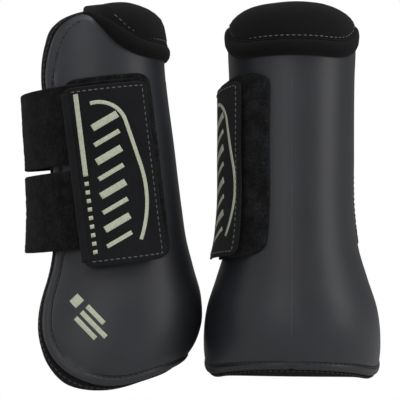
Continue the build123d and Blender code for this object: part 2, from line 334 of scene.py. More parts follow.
def linear(code):
    """A hex sRGB colour as linear values."""
    values = [int(code[i:i + 2], 16) / 255 for i in (1, 3, 5)]
    return [v / 12.92 if v <= 0.04045 else ((v + 0.055) / 1.055) ** 2.4 for v in values] + [1.0]


def add(tree, kind, settings=None, links=None):
    """Add a node, set its properties or sockets, and link other nodes' outputs to its inputs."""
    node = tree.nodes.new(kind)
    for key, value in (settings or {}).items():
        if isinstance(key, str) and hasattr(node, key):
            setattr(node, key, value)
        else:
            node.inputs[key].default_value = value
    for key, source in (links or {}).items():
        tree.links.new(source, node.inputs[key])
    return node


def new_material(name):
    material = bpy.data.materials.new(name)
    material.use_nodes = True
    tree = material.node_tree
    return material, tree, tree.nodes["Principled BSDF"]


# Polyurethane, injection-moulded against a fine-blasted tool: satin charcoal with a faint pebble
# of half-millimetre grain and slight clouding.
SHELL_DARK = "#1b1c20"
SHELL_LIGHT = "#212329"
PEBBLE = 0.55 * MM


def moulded_polyurethane():
    material, tree, shader = new_material("satin_moulded_polyurethane")
    place = add(tree, "ShaderNodeTexCoord").outputs["Object"]
    cloud = add(tree, "ShaderNodeTexNoise", {"Scale": 1 / (60 * MM), "Detail": 3.0},
                {"Vector": place})
    tint = add(tree, "ShaderNodeValToRGB", None, {"Fac": cloud.outputs["Fac"]})
    tint.color_ramp.elements[0].position = 0.35
    tint.color_ramp.elements[0].color = linear(SHELL_DARK)
    tint.color_ramp.elements[1].position = 0.65
    tint.color_ramp.elements[1].color = linear(SHELL_LIGHT)
    pebble = add(tree, "ShaderNodeTexVoronoi", {"Scale": 1 / PEBBLE}, {"Vector": place})
    grain = add(tree, "ShaderNodeTexNoise", {"Scale": 1 / (1.6 * MM), "Detail": 4.0},
                {"Vector": place})
    both = add(tree, "ShaderNodeMath", {"operation": "ADD"},
               {0: pebble.outputs["Distance"], 1: grain.outputs["Fac"]})
    relief = add(tree, "ShaderNodeBump", {"Strength": 0.35, "Distance": 0.04 * MM},
                 {"Height": both.outputs["Value"]})
    polish = add(tree, "ShaderNodeMapRange", {"To Min": 0.42, "To Max": 0.54},
                 {"Value": grain.outputs["Fac"]})
    tree.links.new(tint.outputs["Color"], shader.inputs["Base Color"])
    tree.links.new(polish.outputs["Result"], shader.inputs["Roughness"])
    tree.links.new(relief.outputs["Normal"], shader.inputs["Normal"])
    shader.inputs["IOR"].default_value = 1.5
    return material


SHELL_THICKNESS = 2.4
EDGE_ROUND = 1.3  # radius of the edge's outer side
RIM_BEAD = 5.8  # width of the raised bead
RIM_RISE = 0.9
RIM_CROWN = 0.35  # the bead is this much higher along its middle
RIM_SHOULDER = 1.2  # width of the slope from the bead down to the wall
GROOVE_CENTRE = 6.7  # from the edge
GROOVE_HALF = 1.3
GROOVE_DEPTH = 0.9
FADE_FROM = 236.0  # bead and groove fade out from this level up
FADE_OVER = 14.0
EDGE_ZONE = 10.0  # the mesh is fine this far in from the edge
FINE, COARSE = 0.55, 3.2

hem_edge = both_sides(half_path(HEM[::-1], -1))
front_edge = half_path(FRONT, -1)
crown_edge = both_sides(half_path(CROWN, -1))
shell_edges = (hem_edge, crown_edge, front_edge, mirror(front_edge))
shell_counts = (
    stops(path_length(hem_edge), EDGE_ZONE, FINE, COARSE),
    stops(path_length(front_edge), EDGE_ZONE, FINE, COARSE),
)

# The bead and groove run along the hem and the open front and fade out before the rear cut.
rim_line = half_path(np.concatenate((HEM, FRONT[1:], CROWN[1:][CROWN[1:, 0] < 0])), -1)
rim_line = np.concatenate((rim_line, mirror(rim_line)))
rim_points = on_form(rim_line[:, 0], rim_line[:, 1], 0)[0]


def shell_outside(distance, points):
    """Rounded edge, raised bead, sewing groove, then the plain wall."""
    from_rim = edge_distance(points, rim_points)
    bead = RIM_RISE * smooth_step((RIM_BEAD + RIM_SHOULDER / 2 - from_rim) / RIM_SHOULDER)
    bead = bead + RIM_CROWN * bump(from_rim, RIM_BEAD / 2, RIM_BEAD / 2)
    bead = bead * np.clip(distance / EDGE_ROUND, 0, 1) ** 0.5
    groove = GROOVE_DEPTH * bump(from_rim, GROOVE_CENTRE, GROOVE_HALF)
    fade = 1 - smooth_step((points[..., 2] - FADE_FROM) / FADE_OVER)
    return rounded(distance, EDGE_ROUND) - EDGE_ROUND + (bead - groove) * fade


def shell_inside(distance, points):
    return -EDGE_ROUND - rounded(distance, SHELL_THICKNESS - EDGE_ROUND)


shell_mesh = sheet_on_form(shell_edges, shell_counts, shell_outside, shell_inside)
polyurethane = moulded_polyurethane()
for boot in BOOTS:
    shell = make_piece(f"{boot}_moulded_shell", boot, *shell_mesh, polyurethane)
    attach(shell, boot)
    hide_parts(f"{boot}_shell")

# ---------------------------------------------------------------------------------------------
# Rim stitches and mould line: twisted polyester thread lies in the rim's groove, in stitches
# 2.6 mm long, and the mould's two halves leave a fine witness line down the rear of the shell.


def evenly(path, step, wear=WALL):
    """The path's points at an even spacing in mm."""
    points = on_form(path[:, 0], path[:, 1], 0, wear)[0]
    along = np.concatenate(([0], np.cumsum(np.linalg.norm(np.diff(points, axis=0), axis=1))))
    even = np.linspace(0, along[-1], max(3, int(along[-1] / step) + 1))
    return np.stack([np.interp(even, along, path[:, i]) for i in (0, 1)], axis=-1), even


def frames(path, wear=WALL, smoothing=3):
    """Points, tangents, outward-from-the-shell directions and normals along a path."""
    point, normal, _, _ = on_form(path[:, 0], path[:, 1], 0, wear)
    tangent = np.gradient(point, axis=0)
    for _ in range(smoothing):
        middle = (tangent[:-2] + 2 * tangent[1:-1] + tangent[2:]) / 4
        tangent = np.concatenate((tangent[:1], middle, tangent[-1:]))
    tangent -= normal * (tangent * normal).sum(axis=1, keepdims=True)
    tangent /= np.linalg.norm(tangent, axis=1, keepdims=True)
    return point, tangent, np.cross(tangent, normal), normal


def outward_way(path, wear=WALL):
    """The change of turn and rise that moves each point of a path outwards by 1 mm."""
    _, _, around, upward = on_form(path[:, 0], path[:, 1], 0, wear)
    outward = frames(path, wear, 8)[2]
    turn = (outward * around).sum(axis=1) / (around**2).sum(axis=1)
    rise = (outward * upward).sum(axis=1) / (upward**2).sum(axis=1)
    return np.stack((turn, rise), axis=-1)


def sweep(path, profile, step=1.5, wear=WALL, taper=None):
    """A closed band along a path. The profile lists (outward, height) in mm, in order round it, and
    `taper` scales both along the path."""
    even, along = evenly(path, step, wear)
    point = frames(even, wear)[0]
    way = outward_way(even, wear)
    profile = np.array(profile, float)
    wide, high = (np.ones(len(even)),) * 2 if taper is None else taper(along, point)
    place = even[:, None] + way[:, None] * (profile[None, :, 0] * wide[:, None])[..., None]
    rings = on_form(place[..., 0], place[..., 1], profile[None, :, 1] * high[:, None], wear)[0]
    count, around = rings.shape[:2]
    index = np.arange(count * around).reshape(count, around)
    turned = np.roll(index, -1, axis=1)
    quads = np.stack((index[:-1], index[1:], turned[1:], turned[:-1]), axis=-1).reshape(-1, 4)
    faces = quads.tolist() + [index[0].tolist(), index[-1][::-1].tolist()]
    girth = np.concatenate(([0], np.cumsum(np.linalg.norm(np.diff(profile, axis=0), axis=1))))
    weave = np.stack(np.broadcast_arrays(along[:, None], girth[None]), axis=-1).reshape(-1, 2)
    return rings.reshape(-1, 3), faces, weave


def combined(parts):
    """Several meshes as one."""
    vertices, faces, weave, start = [], [], [], 0
    for part_vertices, part_faces, part_weave in parts:
        vertices.append(part_vertices)
        weave.append(part_weave)
        faces += [[start + int(i) for i in face] for face in part_faces]
        start += len(part_vertices)
    return np.concatenate(vertices), faces, np.concatenate(weave)


STITCH_LENGTH = 2.6
STITCH_PITCH = 3.8
STITCH_RADIUS = 0.42
STITCH_SIDES = 6
CAPSULE = ((0, 0.12), (0.12, 0.75), (0.3, 1), (0.7, 1), (0.88, 0.75), (1, 0.12))  # along, swell


def stitches(path, offset, height, wear=WALL):
    """Separate stitches along a path, at an outward offset and a height over the form."""
    even, along = evenly(path, 0.4, wear)
    point, tangent, outward, normal = frames(even, wear, 6)
    line = point + offset * outward + height * normal
    length = np.concatenate(([0], np.cumsum(np.linalg.norm(np.diff(line, axis=0), axis=1))))
    parts = []
    for start in np.arange(1.0, length[-1] - STITCH_LENGTH, STITCH_PITCH):
        rings = []
        for share, swell in CAPSULE:
            at = start + share * STITCH_LENGTH
            centre, side, up = (
                np.array([np.interp(at, length, field[:, i]) for i in range(3)])
                for field in (line, outward, normal)
            )
            for k in range(STITCH_SIDES):
                a = 2 * math.pi * k / STITCH_SIDES
                way = side * math.cos(a) + up * math.sin(a)
                rings.append(centre + STITCH_RADIUS * swell * way)
        index = np.arange(len(rings)).reshape(len(CAPSULE), STITCH_SIDES)
        turned = np.roll(index, -1, axis=1)
        quads = np.stack((index[:-1], index[1:], turned[1:], turned[:-1]), axis=-1).reshape(-1, 4)
        faces = quads.tolist() + [index[0].tolist(), index[-1][::-1].tolist()]
        parts.append((np.array(rings), faces, np.zeros((len(rings), 2))))
    return combined(parts)


# Twisted polyester thread, two plies, slightly shiny; the ply twist is drawn at 1 mm.
THREAD_LIGHT = "#4c4e4f"
THREAD_DARK = "#1f2022"
PLY = 1.0 * MM


def polyester_thread(name, code):
    material, tree, shader = new_material(name)
    place = add(tree, "ShaderNodeTexCoord").outputs["Object"]
    ply = add(tree, "ShaderNodeTexWave", {"Scale": 1 / (2 * math.pi * PLY), "Distortion": 2.0},
              {"Vector": place})
    relief = add(tree, "ShaderNodeBump", {"Strength": 0.4, "Distance": 0.1 * MM},
                 {"Height": ply.outputs["Fac"]})
    shade = add(tree, "ShaderNodeMix", {"data_type": "RGBA"}, {0: ply.outputs["Fac"]})
    shade.inputs[6].default_value = [0.75 * v for v in linear(code)[:3]] + [1]
    shade.inputs[7].default_value = linear(code)
    tree.links.new(shade.outputs[2], shader.inputs["Base Color"])
    tree.links.new(relief.outputs["Normal"], shader.inputs["Normal"])
    shader.inputs["Roughness"].default_value = 0.55
    shader.inputs["Sheen Weight"].default_value = 0.2
    return material


light_thread = polyester_thread("pale_polyester_thread", THREAD_LIGHT)
dark_thread = polyester_thread("grey_polyester_thread", THREAD_DARK)

CUT_FRONT = -4.0  # the soft cuff starts here, measured rearwards from the leg axis
THREAD_DEPTH = 0.55  # the thread's middle lies this far under the shell's face
ON_CROWN = CROWN[:, 1] > CROWN_LEVEL


def round_the_edge(crown_part):
    """A path from a part of the crown, down the front and along the hem, on both sides."""
    return both_sides(np.concatenate((
        half_path(crown_part[::-1], -1),
        half_path(FRONT[::-1], -1)[1:],
        half_path(HEM[::-1], -1)[1:],
    )))


rim_run = round_the_edge(CROWN[CROWN[:, 0] < CUT_FRONT])
rim_seam = stitches(rim_run, -GROOVE_CENTRE, -THREAD_DEPTH)

PARTING_LEVELS = (36.0, 205.0)  # the witness line's lower and upper ends
PARTING = ((-0.32, -0.1), (-0.2, 0.13), (0, 0.2), (0.2, 0.13), (0.32, -0.1))
parting_z = np.linspace(*PARTING_LEVELS, 80)
parting_path = np.stack((0 * parting_z, np.interp(parting_z, STATIONS[:, 0], RISE)), axis=-1)
parting_mesh = sweep(parting_path, PARTING)

# The mould's witness line: a real low ridge of the same polyurethane, coloured paler along the rear
# as a painted highlight on the ridge.
MOULD_LINE_HIGHLIGHT = "#3d4046"


def painted_highlight_polyurethane():
    material, tree, shader = new_material("mould_line_painted_highlight")
    place = add(tree, "ShaderNodeTexCoord").outputs["Object"]
    highlight_noise = add(tree, "ShaderNodeTexNoise", {"Scale": 1 / (9 * MM), "Detail": 3.0},
                     {"Vector": place})
    # Painted highlight: noise mixes the shell's lighter tone with a much paler colour along the
    # ridge.
    shade = add(tree, "ShaderNodeMix", {"data_type": "RGBA"}, {0: highlight_noise.outputs["Fac"]})
    shade.inputs[6].default_value = linear(SHELL_LIGHT)
    shade.inputs[7].default_value = linear(MOULD_LINE_HIGHLIGHT)
    tree.links.new(shade.outputs[2], shader.inputs["Base Color"])
    shader.inputs["Roughness"].default_value = 0.5
    return material


mould_line = painted_highlight_polyurethane()
for boot in BOOTS:
    seam = make_piece(f"{boot}_rim_stitches", boot, *rim_seam, dark_thread)
    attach(seam, boot)
    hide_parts(f"{boot}_rim_stitching")
    witness = make_piece(f"{boot}_mould_line", boot, *parting_mesh, mould_line)
    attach(witness, boot)

# ---------------------------------------------------------------------------------------------
# Liner: a sheet of neoprene foam faced with nylon jersey, glued inside the shell and standing
# out past its edge. The raw edge is bound with woven tape, stitched through.


def ripple(points, size, seed):
    """Smooth unevenness between about -1 and 1, with waves of `size` mm."""
    random = np.random.default_rng(seed)
    total = 0
    for _ in range(7):
        way = random.normal(size=3)
        way *= random.uniform(0.7, 1.5) * 2 * math.pi / size / np.linalg.norm(way)
        total = total + np.sin(points @ way + random.uniform(0, 7))
    return total / 3.5


LINER_TOP = -2.6  # below the shell's outer face
LINER_THICKNESS = 5.4
LINER_MARGIN = 5.0  # the liner stands out past the shell's edge
LINER_HALF = LINER_THICKNESS / 2
LOBE_SIDE = -60.0  # how far the outer lobe stands out to its side
LINER_RIPPLE = 0.25  # the inner face's unevenness, in waves of
RIPPLE_SIZE = 55
NEAR_EDGE, LINER_FINE, LINER_COARSE = 5, 0.8, 3.6

liner_rim = evenly(rim_run, 1.0)[0]
liner_rim = liner_rim + LINER_MARGIN * outward_way(liner_rim)
liner_points = on_form(liner_rim[:, 0], liner_rim[:, 1], 0)[0]
lobe = np.array((HEM[-1][0], LOBE_SIDE, HEM[-1][1]))
outer_half = liner_points[: len(liner_points) // 2]
corner = int(np.argmin(np.linalg.norm(outer_half - lobe, axis=1)))
last_corner = len(liner_rim) - 1 - corner
liner_left = liner_rim[: corner + 1][::-1]
liner_right = liner_rim[last_corner:]
liner_bottom = liner_rim[corner : last_corner + 1]
cut_run = both_sides(half_path(CROWN[CROWN[:, 0] >= CUT_FRONT], -1))
liner_top = np.concatenate((liner_left[-1:], cut_run, liner_right[-1:]))
liner_edges = (liner_bottom, liner_top, liner_left, liner_right)
liner_counts = (
    stops(path_length(liner_bottom), NEAR_EDGE, LINER_FINE, LINER_COARSE),
    stops(path_length(liner_left), NEAR_EDGE, LINER_FINE, LINER_COARSE),
)


def liner_outside(distance, points):
    return LINER_TOP - LINER_HALF + rounded(distance, LINER_HALF)


def liner_inside(distance, points):
    wave = LINER_RIPPLE * ripple(points, RIPPLE_SIZE, 3) * smooth_step(distance / 8)
    return LINER_TOP - LINER_HALF - rounded(distance, LINER_HALF) + wave


liner_mesh = sheet_on_form(liner_edges, liner_counts, liner_outside, liner_inside)

# Nylon jersey on neoprene: black and matt with fine knitted ribs, here drawn at 0.9 mm.
JERSEY_DARK = "#09090a"
JERSEY_LIGHT = "#141416"
KNIT = 0.9 * MM


def knitted(name, dark, light, pitch, relief_height, sheen):
    """A ribbed or woven cloth: two crossed waves along its weave, with a soft nap."""
    material, tree, shader = new_material(name)
    weave = add(tree, "ShaderNodeTexCoord").outputs["UV"]
    scale = 1 / pitch / (2 * math.pi) * 2
    warp = add(tree, "ShaderNodeTexWave", {"Scale": scale, "Distortion": 0.6}, {"Vector": weave})
    weft = add(tree, "ShaderNodeTexWave",
               {"bands_direction": "Y", "Scale": scale, "Distortion": 0.6}, {"Vector": weave})
    crossed = add(tree, "ShaderNodeMath", {"operation": "MULTIPLY"},
                  {0: warp.outputs["Fac"], 1: weft.outputs["Fac"]})
    place = add(tree, "ShaderNodeTexCoord").outputs["Object"]
    nap = add(tree, "ShaderNodeTexNoise", {"Scale": 0.5 / pitch, "Detail": 5.0, "Roughness": 0.7},
              {"Vector": place})
    fade = add(tree, "ShaderNodeTexNoise", {"Scale": 1 / (35 * MM), "Detail": 2.0},
               {"Vector": place})
    height = add(tree, "ShaderNodeMath", {"operation": "ADD"},
                 {0: crossed.outputs["Value"], 1: nap.outputs["Fac"]})
    relief = add(tree, "ShaderNodeBump", {"Strength": 0.7, "Distance": relief_height},
                 {"Height": height.outputs["Value"]})
    amount = add(tree, "ShaderNodeMath", {"operation": "MULTIPLY"},
                 {0: height.outputs["Value"], 1: fade.outputs["Fac"]})
    shade = add(tree, "ShaderNodeMix", {"data_type": "RGBA"}, {0: amount.outputs["Value"]})
    shade.inputs[6].default_value = linear(dark)
    shade.inputs[7].default_value = linear(light)
    tree.links.new(shade.outputs[2], shader.inputs["Base Color"])
    tree.links.new(relief.outputs["Normal"], shader.inputs["Normal"])
    shader.inputs["Roughness"].default_value = 1.0
    shader.inputs["Specular IOR Level"].default_value = 0.12
    shader.inputs["Sheen Weight"].default_value = sheen
    shader.inputs["Sheen Roughness"].default_value = 0.6
    return material


jersey = knitted("black_nylon_jersey_on_neoprene", JERSEY_DARK, JERSEY_LIGHT, KNIT, 0.12 * MM, 0.03)

# Woven polyester tape: black with flat ribs 1.3 mm apart, a little paler and crisper than jersey.
tape = knitted("black_polyester_binding_tape", "#0f0f10", "#242528", 1.3 * MM, 0.15 * MM, 0.03)

TAPE_END = 3.0  # the tape runs on under the cuff to here
BINDING = (
    (0.5, -1.5), (1.6, -1.05), (3.2, -0.95), (4.6, -1.5), (5.6, -2.8), (5.95, -4.6), (5.8, -6.4),
    (5.0, -8.0), (3.4, -8.75), (0.6, -8.75), (0.6, -8.0), (3.2, -8.0), (4.6, -7.2), (5.1, -5.4),
    (4.9, -3.6), (3.9, -2.4), (2.4, -2.1), (0.5, -2.2),
)
HEEL_MARGIN = 1.1  # the liner stands out this share further at the heel
CROWN_MARGIN = 0.45  # and this share further up the front
BINDING_SEAM = 2.6  # from the shell's edge to the stitches through the tape
SEAM_LEVEL = -0.85  # the thread's middle, just proud of the tape


def binding_width(along, point):
    """The binding is wider under the heel and up the front, and of one thickness."""
    x, z = point[:, 0], point[:, 2]
    heel = HEEL_MARGIN * smooth_step((x + 5) / 45) * (z < 80)
    crown = CROWN_MARGIN * smooth_step((z - 165) / 40)
    return 1 + heel + crown, np.ones(len(z))


tape_run = round_the_edge(CROWN[(CROWN[:, 0] < TAPE_END) & ON_CROWN])
binding_mesh = sweep(tape_run, BINDING, 1.5, WALL, binding_width)
tape_line = evenly(tape_run, 1.0)[0]
tape_line = tape_line + BINDING_SEAM * outward_way(tape_line)
binding_seam = stitches(tape_line, 0, SEAM_LEVEL)
for boot in BOOTS:
    liner = make_piece(f"{boot}_neoprene_liner", boot, *liner_mesh, jersey)
    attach(liner, boot)
    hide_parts(f"{boot}_liner")
    binding = make_piece(f"{boot}_binding_tape", boot, *binding_mesh, tape)
    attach(binding, boot)
    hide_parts(f"{boot}_edge_binding")
    seam = make_piece(f"{boot}_binding_stitches", boot, *binding_seam, dark_thread)
    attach(seam, boot)

# ---------------------------------------------------------------------------------------------
# Collar and cuff: a soft foam collar, covered in the same jersey, closes in over the tendon. A
# rolled cuff with a piped seam covers the joint between it and the shell.

COLLAR_THICKNESS = 6.0
COLLAR_HALF = COLLAR_THICKNESS / 2
COLLAR_RISE = 2.2  # the foam swells this much outwards
COLLAR_SINK = 1.2  # and this much inwards
MOUTH_RADIUS = 21.0
CLOSING_IN = 236.0  # the form closes in above this level


def at_plan(x, y):
    """Turn and rise of the place on the closing-in crown that has the given plan position."""
    rear, front, half = (STATIONS[:, i] for i in (1, 2, 3))
    centre = (rear - front) / 2
    length = (rear + front) / 2
    fit = ((x - centre) / length) ** 2 + (y / half) ** 2
    crown = int(np.searchsorted(STATIONS[:, 0], CLOSING_IN))
    k = crown + int(np.argmax(fit[crown:] > 1))
    return math.atan2(y / half[k], (x - centre[k]) / length[k]), RISE[k]


mouth = [at_plan(MOUTH_RADIUS * math.cos(a), MOUTH_RADIUS * math.sin(a))
         for a in np.linspace(-math.pi / 2, math.pi / 2, 81)]
mouth_front = [at_plan(x, -MOUTH_RADIUS) for x in np.linspace(CUT_FRONT, 0, 6)[:-1]]
mouth = np.array(mouth_front + mouth + [(-t, r) for t, r in mouth_front[::-1]])
collar_left = np.linspace(cut_run[0], mouth[0], 30)
collar_edges = (cut_run, mouth, collar_left, mirror(collar_left))
collar_counts = (
    stops(path_length(cut_run), 5, 0.8, 2.4),
    stops(path_length(collar_left) * 1.5, 4, 0.6, 2.0),
)


def collar_wave(points, distance):
    """The foam's unevenness, the same on both faces."""
    return 0.35 * ripple(points, 34, 5) * smooth_step(distance / 6)


def collar_outside(distance, points):
    swell = COLLAR_RISE * smooth_step((distance - 4) / 9)
    swell = swell * smooth_step((points[..., 0] - CUT_FRONT) / 18)
    return rounded(distance, COLLAR_HALF) - COLLAR_HALF + swell + collar_wave(points, distance)


def collar_inside(distance, points):
    swell = COLLAR_SINK * smooth_step((distance - 4) / 9)
    return -COLLAR_HALF - rounded(distance, COLLAR_HALF) - swell + collar_wave(points, distance)


collar_mesh = sheet_on_form(collar_edges, collar_counts, collar_outside, collar_inside)

CUFF = (
    (-1.6, 0.05), (-2.0, 0.9), (-1.4, 2.1), (0.4, 3.3), (2.6, 3.9), (5.0, 3.9), (7.0, 3.2),
    (8.2, 2.2), (8.6, 1.0), (8.0, 0.1), (4.0, -0.2), (0.5, 0.05),
)
PIPING_RADIUS = 0.9
PIPING_PLACE = (8.9, 1.5)  # above the joint, and over the form
PIPING = tuple(
    (PIPING_PLACE[0] + PIPING_RADIUS * math.cos(a), PIPING_PLACE[1] + PIPING_RADIUS * math.sin(a))
    for a in np.linspace(0, 2 * math.pi, 10)[:-1]
)
CUFF_TAPER = 34.0  # length over which each end thins
CUFF_SEAM = 10.9  # from the joint to the stitches above the cuff
SEAM_HEIGHT = 1.7
SEAM_END = 14  # the stitches stop this far, in mm, before the cuff's ends


def cuff_swell(along, point):
    """The roll thins towards both of its front ends."""
    inwards = np.minimum(along, along[-1] - along)
    swell = 0.16 + 0.84 * smooth_step((inwards + 3) / CUFF_TAPER)
    return swell, swell


cuff_run = cut_run[::-1]
cuff_mesh = sweep(cuff_run, CUFF, 1.5, WALL, cuff_swell)
piping_mesh = sweep(cuff_run, PIPING, 1.5, WALL, cuff_swell)
seam_line = evenly(cuff_run, 1.0)[0]
seam_line = seam_line + CUFF_SEAM * outward_way(seam_line)
cuff_seam = stitches(seam_line[SEAM_END:-SEAM_END], 0, SEAM_HEIGHT)

# Brushed nylon over foam: the blackest and softest of the cloths, with a short nap.
cuff_cloth = knitted("black_brushed_nylon_cuff", "#070708", "#121213", 1.1 * MM, 0.15 * MM, 0.03)
for boot in BOOTS:
    collar = make_piece(f"{boot}_padded_collar", boot, *collar_mesh, jersey)
    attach(collar, boot)
    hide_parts(f"{boot}_collar")
    cuff = make_piece(f"{boot}_rolled_cuff", boot, *combined((cuff_mesh, piping_mesh)), cuff_cloth)
    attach(cuff, boot)
    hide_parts(f"{boot}_cuff")
    seam = make_piece(f"{boot}_cuff_stitches", boot, *cuff_seam, light_thread)
    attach(seam, boot)
    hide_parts(f"{boot}_cuff_stitching")

# ---------------------------------------------------------------------------------------------
# Closure: two brushed elastic straps are sewn down on the inner side and come round the open
# front. Their ends are sewn under one stiff woven panel and grip a sewn-on pad of loops.

WRAP = {"boot_a": (-22.5, 29.0), "boot_b": (-8.0, 39.5)}  # the panel's front and rear edges
PULLED = (5.3, 2.7, -2.0)  # how far the straps stand off the shell, ahead and aside, and shift over
PANEL_BOTTOM = 87.0
PANEL_TOP = 203.5
PANEL_CORNER = 5.0
STRAP_WIDTH = 51.0
STRAP_GAP = 3.8
STRAP_BOTTOM = 100.0
STRAP_THICKNESS = 2.0
FOLD = -30.0  # the box of anchor stitches starts 2.8 mm behind this, ahead of the straps' sewn-down ends
ANCHOR_REAR = -15.7
TAIL_SETBACK = 6.0  # from the panel's rear edge


def rounded_rectangle(left, right, low, high, radius, side, wear):
    """Four edges that meet in the middles of the corners, as turn and rise."""
    quarter = np.linspace(0, math.pi / 4, 7)

    def arc(x, z, start):
        return [
            (x + radius * math.cos(start + a), z + radius * math.sin(start + a)) for a in quarter
        ]

    pi = math.pi
    inner_left, inner_right = left + radius, right - radius
    low_z, high_z = low + radius, high - radius
    edges = (
        arc(inner_left, low_z, 1.25 * pi) + arc(inner_right, low_z, 1.5 * pi),
        (arc(inner_right, high_z, 0.25 * pi) + arc(inner_left, high_z, 0.5 * pi))[::-1],
        (arc(inner_left, high_z, 0.75 * pi) + arc(inner_left, low_z, pi))[::-1],
        arc(inner_right, low_z, 1.75 * pi) + arc(inner_right, high_z, 0),
    )
    mapped = []
    for edge in edges:
        edge = np.array(edge)
        dense = np.linspace(0, len(edge) - 1, 400)
        edge = np.stack([np.interp(dense, range(len(edge)), edge[:, i]) for i in (0, 1)], axis=-1)
        mapped.append(from_side(edge[:, 0], edge[:, 1], side, wear))
    return tuple(mapped)


def pad_mesh(left, right, low, high, radius, faces, wear, wave=None, coarse=2.2):
    """A flat pad on the outer side, between two heights, with softly rounded edges."""
    edges = rounded_rectangle(left, right, low, high, radius, -1, wear)
    middle = sum(faces) / 2
    half = (faces[1] - faces[0]) / 2
    counts = (stops(right - left, 4, 0.7, coarse), stops(high - low, 4, 0.7, coarse))
    nap = (lambda points: 0) if wave is None else wave
    return sheet_on_form(
        edges, counts,
        lambda distance, points: middle + rounded(distance, half) + nap(points),
        lambda distance, points: middle - rounded(distance, half),
        wear,
    )


def fuzz(points):
    """The brushed loops' uneven nap: tufts, smaller tufts and a slow wave."""
    tufts = 0.16 * ripple(points, 5.5, 11) + 0.12 * ripple(points, 3.1, 12)
    return tufts + 0.3 * ripple(points, 40, 13)


def strap_mesh(level, wrap):
    """A strap from its sewn-down end, round the front, to its tail under the panel."""
    rows = np.linspace(level, level + STRAP_WIDTH, 60)
    anchor = from_side(np.full(60, ANCHOR_REAR), rows, 1, PULLED)
    tail = from_side(np.full(60, wrap[1] - TAIL_SETBACK), rows, -1, PULLED)
    tail[:, 0] += 2 * math.pi
    share = np.linspace(0, 1, 300)[:, None]
    low = anchor[0] + (tail[0] - anchor[0]) * share
    high = anchor[-1] + (tail[-1] - anchor[-1]) * share
    half = STRAP_THICKNESS / 2
    lower_edge = on_form(low[:, 0], low[:, 1], 0, PULLED)[0]
    length = np.linalg.norm(np.diff(lower_edge, axis=0), axis=1).sum()
    counts = (stops(length, 3, 0.6, 1.6), stops(STRAP_WIDTH, 3, 0.6, 1.6))
    mesh = sheet_on_form(
        (low, high, anchor, tail), counts,
        lambda distance, points: half + rounded(distance, half) + fuzz(points),
        lambda distance, points: half - rounded(distance, half) + 0.6 * fuzz(points),
        PULLED,
    )
    return mesh, length


# Brushed loop fabric: black nylon with a raised, matted nap that catches light along its edges.
def brushed_loops(name, dark, light, tuft):
    material, tree, shader = new_material(name)
    place = add(tree, "ShaderNodeTexCoord").outputs["Object"]
    nap = add(tree, "ShaderNodeTexNoise", {"Scale": 1 / tuft, "Detail": 6.0, "Roughness": 0.75},
              {"Vector": place})
    mat = add(tree, "ShaderNodeTexNoise", {"Scale": 1 / (9 * MM), "Detail": 3.0},
              {"Vector": place})
    loops = add(tree, "ShaderNodeTexVoronoi", {"Scale": 0.7 / tuft}, {"Vector": place})
    height = add(tree, "ShaderNodeMath", {"operation": "ADD"},
                 {0: nap.outputs["Fac"], 1: loops.outputs["Distance"]})
    spread = add(tree, "ShaderNodeMath", {"operation": "MULTIPLY"},
                 {0: height.outputs["Value"], 1: mat.outputs["Fac"]})
    tone = add(tree, "ShaderNodeMapRange", {"From Min": 0.3, "From Max": 0.8},
               {"Value": spread.outputs["Value"]})
    shade = add(tree, "ShaderNodeMix", {"data_type": "RGBA"}, {0: tone.outputs["Result"]})
    shade.inputs[6].default_value = linear(dark)
    shade.inputs[7].default_value = linear(light)
    relief = add(tree, "ShaderNodeBump", {"Strength": 0.9, "Distance": 0.35 * MM},
                 {"Height": height.outputs["Value"]})
    tree.links.new(shade.outputs[2], shader.inputs["Base Color"])
    tree.links.new(relief.outputs["Normal"], shader.inputs["Normal"])
    shader.inputs["Roughness"].default_value = 1.0
    shader.inputs["Specular IOR Level"].default_value = 0.05
    shader.inputs["Sheen Weight"].default_value = 0.03
    shader.inputs["Sheen Roughness"].default_value = 0.7
    return material


# Hook tape: small moulded nylon hooks in rows; stiff and slightly shiny.
def hook_rows():
    material, tree, shader = new_material("black_nylon_hook_tape")
    weave = add(tree, "ShaderNodeTexCoord").outputs["UV"]
    hooks = add(tree, "ShaderNodeTexVoronoi", {"Scale": 1 / (1.5 * MM), "Randomness": 0.15},
                {"Vector": weave})
    relief = add(tree, "ShaderNodeBump", {"Strength": 1.0, "Distance": 0.5 * MM, "invert": True},
                 {"Height": hooks.outputs["Distance"]})
    shade = add(tree, "ShaderNodeMix", {"data_type": "RGBA"}, {0: hooks.outputs["Distance"]})
    shade.inputs[6].default_value = linear("#232426")
    shade.inputs[7].default_value = linear("#0c0c0d")
    tree.links.new(shade.outputs[2], shader.inputs["Base Color"])
    tree.links.new(relief.outputs["Normal"], shader.inputs["Normal"])
    shader.inputs["Roughness"].default_value = 0.55
    return material


# Screen-printed ink on the panel and shell: pale sage, thin and slightly broken by the weave.
PRINT = "#b5bba5"


def screen_ink():
    material, tree, shader = new_material("sage_screen_ink")
    place = add(tree, "ShaderNodeTexCoord").outputs["Object"]
    speck = add(tree, "ShaderNodeTexNoise", {"Scale": 1 / (1.2 * MM), "Detail": 4.0},
                {"Vector": place})
    tone = add(tree, "ShaderNodeMapRange", {"From Min": 0.35, "From Max": 0.6},
               {"Value": speck.outputs["Fac"]})
    shade = add(tree, "ShaderNodeMix", {"data_type": "RGBA"}, {0: tone.outputs["Result"]})
    shade.inputs[6].default_value = linear("#a3a993")
    shade.inputs[7].default_value = linear(PRINT)
    tree.links.new(shade.outputs[2], shader.inputs["Base Color"])
    shader.inputs["Roughness"].default_value = 0.7
    return material


strap_loops = brushed_loops("black_brushed_loop_elastic", "#040404", "#161617", 1.4 * MM)
pad_loops = brushed_loops("black_loop_pad", "#070708", "#202123", 1.1 * MM)
hook_tape = hook_rows()
ink = screen_ink()

# Woven polyester: stiff and flat, black, with warp and weft drawn 1.2 mm apart.
panel_cloth = knitted(
    "black_woven_polyester_panel", "#0d0d0e", "#222326", 1.2 * MM, 0.12 * MM, 0.03
)

